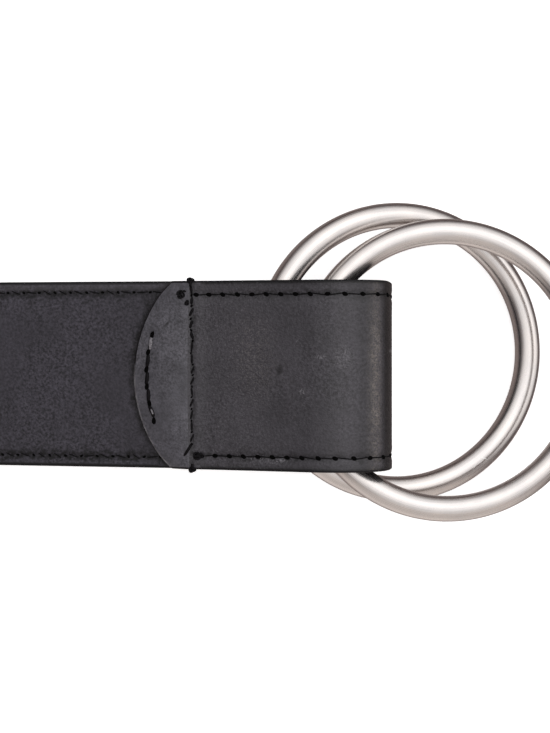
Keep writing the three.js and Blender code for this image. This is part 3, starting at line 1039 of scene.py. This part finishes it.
def edge_row(shape, inset, firsts, pitches):
    """Arc lengths and widths of one row of holes: down one edge, round the tip and back."""
    draw = np.random.default_rng(ROW_SEED)
    tip_radius = shape.strap.end_radius - inset
    row_width = shape.half_width - inset
    turn = math.asin(row_width / tip_radius)
    corner_u = shape.strap.end_radius - tip_radius * math.cos(turn)
    sides = []
    for first in firsts:
        u, places = shape.end_u - first, []
        while u > corner_u + pitches[1] / 2:
            places.append(u)
            u -= (pitches[0] if u > shape.fold_u else pitches[1]) * draw.uniform(*UNEVEN_PITCH)
        sides.append(np.array(places))
    count = round(2 * turn * tip_radius / pitches[1])
    turns = np.linspace(turn, -turn, count + 1)
    tip_u = shape.strap.end_radius - tip_radius * np.cos(turns)
    u = np.concatenate([sides[0], tip_u, sides[1][::-1]])
    upper, lower = (np.full(len(side), row_width) for side in sides)
    return u, np.concatenate([upper, tip_radius * np.sin(turns), -lower])


class BELT_OT_edge_stitches(bpy.types.Operator):
    """Sew the row along both edges and round the tip, seen on the face side and the lining side"""

    bl_idname = "belt.edge_stitches"
    bl_label = "Edge stitches"

    def execute(self, context):
        shape = StrapShape(context.scene)
        strap, stitch = shape.strap, shape.stitch
        half_gap = strap.joint_gap / 2
        pitches = (stitch.face_pitch, stitch.lining_pitch)
        face_lift = -half_gap - strap.face_thickness
        lining_lift = half_gap + strap.lining_thickness
        # A look is the thread's thickness, how it is sunk, slanted and uneven, and the holes' size.
        face_look = (stitch.face_thread, 0.8, 0.0, 9, 0.95)
        lining_look = (stitch.lining_thread, 1.3, stitch.lining_slant, 20, 0.56)
        sides = (
            ("face", stitch.face_inset, face_lift, -1, (1.4, 2.7), face_look),
            ("lining", stitch.lining_inset, lining_lift, 1, (4.4, 5.7), lining_look),
        )
        for name, inset, surface, way, firsts, look in sides:
            u, y = edge_row(shape, inset, [first * MM for first in firsts], pitches)
            lift = surface - way * stitch.groove_depth
            holes = shape.place(u, y, lift)
            middles = shape.place((u[1:] + u[:-1]) / 2, (y[1:] + y[:-1]) / 2, lift)
            heading = shape.path.at(u)[2]
            ups = np.stack([-np.sin(heading), 0 * heading, np.cos(heading)], -1) * way
            sew(name, holes, ups, *look, middles)
        return {"FINISHED"}


class SeamSurface:
    """Places on top of the cross seam: on the folded end ahead of it, and on the tab behind it."""

    def __init__(self, shape):
        self.shape = shape
        self.top = shape.strap.joint_gap / 2 + shape.strap.face_thickness

    def at(self, ahead, y, lift):
        """A point, ahead of the lining's end or behind it, lifted off the surface."""
        ahead, y = np.broadcast_arrays(np.asarray(ahead, float), np.asarray(y, float))
        over_loop = self.shape.place(self.shape.end_u - np.maximum(ahead, 0), y, -self.top - lift)
        top = self.top * (1 - self.shape.strap.tab_skive * np.clip(-ahead / self.shape.reach(y), 0, 1))
        over_tab = self.shape.place_on_tab(np.maximum(-ahead, 0), y, top + lift)
        return np.where((ahead > 0)[..., None], over_loop, over_tab)


def knot(centre, along, up, size, thread_size):
    """Points and faces of a small pulled knot of thread."""
    turns = np.linspace(0, 2 * math.pi, 33)
    reach = (2 + np.cos(3 * turns)) / 3
    across = np.cross(up, along)
    route = (
        np.outer(reach * np.cos(2 * turns), along) * size / 2
        + np.outer(reach * np.sin(2 * turns), across) * size / 3
        + np.outer(np.sin(3 * turns), up) * thread_size * 0.45
    )
    return tube(centre + route, np.full(len(route), thread_size / 2), 6)


class BELT_OT_cross_seam(bpy.types.Operator):
    """Sew the cross seam through the folded strap, with its knots, and the curved tab row"""

    bl_idname = "belt.cross_seam"
    bl_label = "Cross seam"

    def execute(self, context):
        shape = StrapShape(context.scene)
        stitch = shape.stitch
        surface = SeamSurface(shape)
        draw = np.random.default_rng(stitch.seed)
        reach = shape.half_width - SEAM_MARGIN
        y = np.linspace(reach, -reach, round(2 * reach / stitch.seam_pitch) + 1)
        bow = stitch.seam_offset * (1 - 0.8 * np.clip(y / reach, 0, 1) ** 2)
        ahead = bow + draw.uniform(-0.25, 0.25, len(y)) * MM
        y = y + draw.uniform(-0.2, 0.2, len(y)) * MM
        holes = surface.at(ahead, y, -0.12 * MM)
        ups = np.tile(UP, (len(y), 1))
        # Below its upper stitches the seam is pulled in tighter, so that less of the thread shows.
        # Its last stitches before the lower edge are missing: there the thread is led back and knotted.
        upper = slice(UPPER_STITCHES + 1)
        lower = slice(UPPER_STITCHES, -MISSED_HOLES)
        look = {"sunk": 1.1, "slant": 0.12, "wander": 20}
        sew("upper_cross_seam", holes[upper], ups[upper], stitch.seam_thread, hole_size=0.5, **look)
        sew("cross_seam", holes[lower], ups[lower], stitch.seam_thread * 0.7, hole_size=0.4, **look)
        below = shape.place(shape.seam_u + bow, y, -surface.top + 0.1 * MM)
        sew("under_seam", below, -ups, stitch.seam_thread, 1.0, wander=12, hole_size=0.7)
        self.tie_off(surface)
        self.sew_tab(surface)
        return {"FINISHED"}

    def tie_off(self, surface):
        """Wraps the thread round both edges and ties its knots."""
        shape, stitch = surface.shape, surface.shape.stitch
        size = stitch.tie_thread
        parts = []
        for side in (1, -1):
            edge = side * shape.half_width
            ahead = stitch.seam_offset * (0.2 if side > 0 else 1)
            top = surface.at(ahead, edge, 0)
            low = shape.place(shape.seam_u + ahead, np.array(edge), -surface.top)
            out = np.array([0.0, side * size * 0.3, 0.0])
            inward = np.array([0.0, -side * 1.2 * MM, 0.0])
            rise = UP * size * 0.25
            route = [top + inward + rise, top + inward * 0.4 + rise, top + out - UP * 0.25 * MM]
            route += [top * (1 - k) + low * k + out for k in (0.2, 0.5, 0.8)]
            route += [low + out + UP * 0.25 * MM, low + inward * 0.4 - rise, low + inward - rise]
            parts.append(tube(route, np.full(len(route), size * 0.4), 8))
            along = np.array([1.0, 0.0, 0.0])
            centre = top - UP * 0.2 * MM
            parts.append(knot(centre, along, UP, 1.3 * MM, size * 0.9))
        # Each knot beside the seam: ahead of the lining's end, across, its width and its turn.
        tacks = ((-1.4, 16.3, 2.2, 0.3), (-0.5, 14.5, 0.9, 1.2), (1.9, -16.2, 2.0, 0.0))
        for ahead, y, width, turn in tacks:
            centre = surface.at(ahead * MM, y * MM, 0.05 * MM)
            along = np.array([math.cos(turn), math.sin(turn), 0.0])
            parts.append(knot(centre, along, UP, width * MM, size * 0.75))
        # The thread that is led back over the missing stitches, from and to: ahead and across.
        for start, end in (((0.3, -13.9), (-0.95, -16.2)), ((1.1, -16.2), (2.7, -16.3))):
            ahead, y = np.linspace(start, end, 7).T * MM
            lift = size * (0.8 * np.sin(np.linspace(0, math.pi, 7)) - 0.5)
            route = surface.at(ahead, y, lift)
            parts.append(tube(route, np.full(len(route), size * 0.5), 7))
        points, faces = joined(parts)
        made = plain_object("seam_knots", points, faces)
        finish_piece(made, STRAP_BODY, [finish("thread")])

    def sew_tab(self, surface):
        """Sews the curved row that holds the tab down, with its first and last stitch rubbed pale."""
        shape, stitch = surface.shape, surface.shape.stitch
        y = stitch.tab_first - stitch.tab_pitch * np.arange(6)
        ahead = -(shape.reach(y) - stitch.tab_inset)
        holes = surface.at(ahead, y, -0.02 * MM)
        ups = np.tile(UP, (len(y), 1))
        sew("tab", holes, ups, stitch.tab_thread, 0.8, wander=9, hole_size=1.25)
        # Which stitch, and its shares of the row's stitch length, thread thickness and height.
        worn = ((0, 0.8, 0.85, 0.66), (4, 0.62, 0.5, 0.6))
        for number, (first, span, thick, top) in enumerate(worn):
            points, attributes = between_holes(holes[first : first + 2], ups[:2])
            attributes["span"] *= span
            size = stitch.tab_thread * thick
            values = {
                "Thread": size, "Rise": top * stitch.tab_thread - size / 2, "Sink": size * 0.5,
                "Slant": 0.1, "Wander": 0.0, "Seed": stitch.seed,
            }
            tree = stitch_tree(finish("pale_thread"))
            made = grown(f"tab_pale_stitch_{number}", points, attributes, tree, values)
            finish_piece(made, STRAP_BODY, [])


# Rings


def ring_mesh(centre, axis, radius, wire, segments, sides):
    """Points, faces and surface lengths of a ring. The lengths start below, inside the loop."""
    turn = Vector((0, 0, 1)).rotation_difference(axis)
    first = np.array(turn @ Vector((-1, 0, 0)))
    second = np.array(turn @ Vector((0, -1, 0)))
    centre, axis = np.array(centre), np.array(axis)
    points, faces, uv = [], [], []
    for i in range(segments):
        a = 2 * math.pi * i / segments
        out = math.cos(a) * first + math.sin(a) * second
        for j in range(sides):
            b = 2 * math.pi * j / sides - math.pi / 2
            points.append(centre + out * (radius + wire * math.cos(b)) + axis * wire * math.sin(b))
            corners = ((i, j), (i + 1, j), (i + 1, j + 1), (i, j + 1))
            faces.append([m % segments * sides + n % sides for m, n in corners])
            step, thick = 2 * math.pi * radius / segments, 2 * math.pi * wire / sides
            uv += [(m * step, n * thick) for m, n in corners]
    return np.array(points), faces, uv


class BELT_OT_rings(bpy.types.Operator):
    """Form the two satin rings where the frame's rings lie"""

    bl_idname = "belt.rings"
    bl_label = "Rings"

    def execute(self, context):
        ring = context.scene.belt_ring
        joints = {joint["child"]: joint for joint in frame["joints"]}
        for name in ("lower_ring", "upper_ring"):
            centre = Vector(joints[name]["pos_m"])
            axis = Vector(joints[name]["axis"]).normalized()
            corners = [v.co - centre for v in frame["nodes"][name].data.vertices]
            outer = max(corner.length for corner in corners)
            points, faces, uv = ring_mesh(
                centre, axis, outer - ring.wire_radius, ring.wire_radius, ring.segments, ring.sides
            )
            made = plain_object(f"{name}_satin", points, faces, None, uv)
            finish_piece(made, name, [finish("metal")], [name])
        return {"FINISHED"}


# Stage


def lobe(tree, way, direction, inner, outer, tint, strength):
    """A soft round light in the sky: full within inner degrees of its direction, none past outer."""
    ways = {0: way, 1: Vector(direction).normalized()}
    facing = add_node(tree, "ShaderNodeVectorMath", ways, operation="DOT_PRODUCT")
    ends = {"From Min": math.cos(math.radians(outer)), "From Max": math.cos(math.radians(inner))}
    spread = {"Value": facing, **ends}
    near = add_node(tree, "ShaderNodeMapRange", spread, interpolation_type="SMOOTHSTEP")
    light = tuple(c * strength for c in linear(tint)[:3]) + (1,)
    return coated(tree, (0, 0, 0, 1), [(light, near)])


def studio_sky(stage):
    """A studio's surroundings: a broad light overhead, one low on the right, one at the front."""
    world = bpy.data.worlds.new("studio")
    world.use_nodes = True
    tree = world.node_tree
    tree.nodes.clear()
    way = add_node(tree, "ShaderNodeTexCoord").outputs["Generated"]
    sky = tuple(c * stage.dim_light for c in linear("#FFDAD8")[:3]) + (1,)
    # Each light's direction, the angles where it is full and where it ends, tint and strength.
    lights = (
        ((0.2, 0.42, 0.88), 20, 80, "#FFFFFF", stage.key_light),
        ((1.0, 0.0, 0.25), 14, 34, "#FFFDFC", stage.right_light),
        ((0.0, -1.0, 0.1), 35, 62, "#FFF8F2", stage.front_light),
        ((-0.35, -0.2, -1.0), 54, 84, "#FFF1EB", stage.low_light),
    )
    for light in lights:
        both = {"Factor": 1.0, "A": sky, "B": lobe(tree, way, *light)}
        sky = add_node(tree, "ShaderNodeMix", both, data_type="RGBA", blend_type="ADD")
    lit = add_node(tree, "ShaderNodeBackground", {"Color": sky, "Strength": 1.0})
    seen = add_node(tree, "ShaderNodeBackground", {"Color": stage.backdrop, "Strength": 1.0})
    ray = add_node(tree, "ShaderNodeLightPath").outputs["Is Camera Ray"]
    chosen = add_node(tree, "ShaderNodeMixShader", {0: ray, 1: lit, 2: seen})
    add_node(tree, "ShaderNodeOutputWorld", {"Surface": chosen})
    bpy.context.scene.world = world


def pale_floor(stage):
    """A wide sweep of white paper, dull and even, lit a little from within so that it stays white."""
    material = new_material("white_sweep_paper")[0]
    glow = {"Emission Color": (1, 1, 1, 1), "Emission Strength": stage.floor_glow}
    shaded(material, stage.floor, 0.9, {"Specular IOR Level": 0.0, **glow})
    corners = [(x * FLOOR_REACH_M, y * FLOOR_REACH_M, 0) for x, y in ((-1, -1), (1, -1), (1, 1), (-1, 1))]
    made = plain_object("floor", np.array(corners), [(0, 1, 2, 3)])
    made.data.materials.append(material)
    made.visible_glossy = False
    made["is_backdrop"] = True


class BELT_OT_stage(bpy.types.Operator):
    """Set the camera, the surface and the light"""

    bl_idname = "belt.stage"
    bl_label = "Stage"

    def execute(self, context):
        stage = context.scene.belt_stage
        data = bpy.data.cameras.new("camera")
        data.sensor_width = SENSOR_WIDTH_MM
        data.lens = stage.focal_pixels / FRAME_HEIGHT_PX * SENSOR_WIDTH_MM
        data.shift_y = -(FRAME_HEIGHT_PX / 2 - stage.axis_row) / FRAME_HEIGHT_PX
        data.clip_start = 0.01
        data.clip_end = 200
        camera = bpy.data.objects.new("camera", data)
        camera.location = (FACE_HIGH.x - stage.camera_back, stage.camera_aside, stage.camera_height)
        context.scene.collection.objects.link(camera)
        context.scene.camera = camera
        context.scene.view_settings.view_transform = "Standard"
        pale_floor(stage)
        studio_sky(stage)
        light = bpy.data.lights.new("top_softbox", "AREA")
        light.size = SOFTBOX_SIDE_M
        light.energy = SOFTBOX_POWER_W
        softbox = bpy.data.objects.new("top_softbox", light)
        softbox.location = SOFTBOX_PLACE_M
        towards = Vector((FACE_HIGH.x, 0, 0)) - softbox.location
        softbox.rotation_euler = towards.to_track_quat("-Z", "Y").to_euler()
        context.scene.collection.objects.link(softbox)
        return {"FINISHED"}


class BELT_PT_panel(bpy.types.Panel):
    """Lists the belt's sizes, finishes and making steps"""

    bl_label = "Double Ring Belt"
    bl_space_type = "VIEW_3D"
    bl_region_type = "UI"
    bl_category = "Belt"

    def draw(self, context):
        for operator in OPERATORS:
            self.layout.operator(operator.bl_idname)
        for name, group in SETTINGS.items():
            settings = getattr(context.scene, name)
            column = self.layout.column(heading=group.__doc__)
            for field in group.__annotations__:
                column.prop(settings, field)


OPERATORS = (BELT_OT_stage, BELT_OT_leathers, BELT_OT_edge_stitches, BELT_OT_cross_seam, BELT_OT_rings)
CLASSES = (*SETTINGS.values(), *OPERATORS, BELT_PT_panel)


def register():
    """Registers the classes and their settings."""
    for made in CLASSES:
        bpy.utils.register_class(made)
    for name, group in SETTINGS.items():
        setattr(bpy.types.Scene, name, PointerProperty(type=group))


def unregister():
    """Takes the classes and their settings away again."""
    for name in SETTINGS:
        delattr(bpy.types.Scene, name)
    for made in reversed(CLASSES):
        bpy.utils.unregister_class(made)


def main():
    """Builds the belt on its stage and writes the two boxes."""
    register()
    for operator in OPERATORS:
        package, name = operator.bl_idname.split(".")
        getattr(getattr(bpy.ops, package), name)()
    boxes = {"cad": CAD_BOX, "visual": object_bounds()}
    plain = {key: [list(map(float, corner)) for corner in box] for key, box in boxes.items()}


if __name__ == "__main__":
    main()
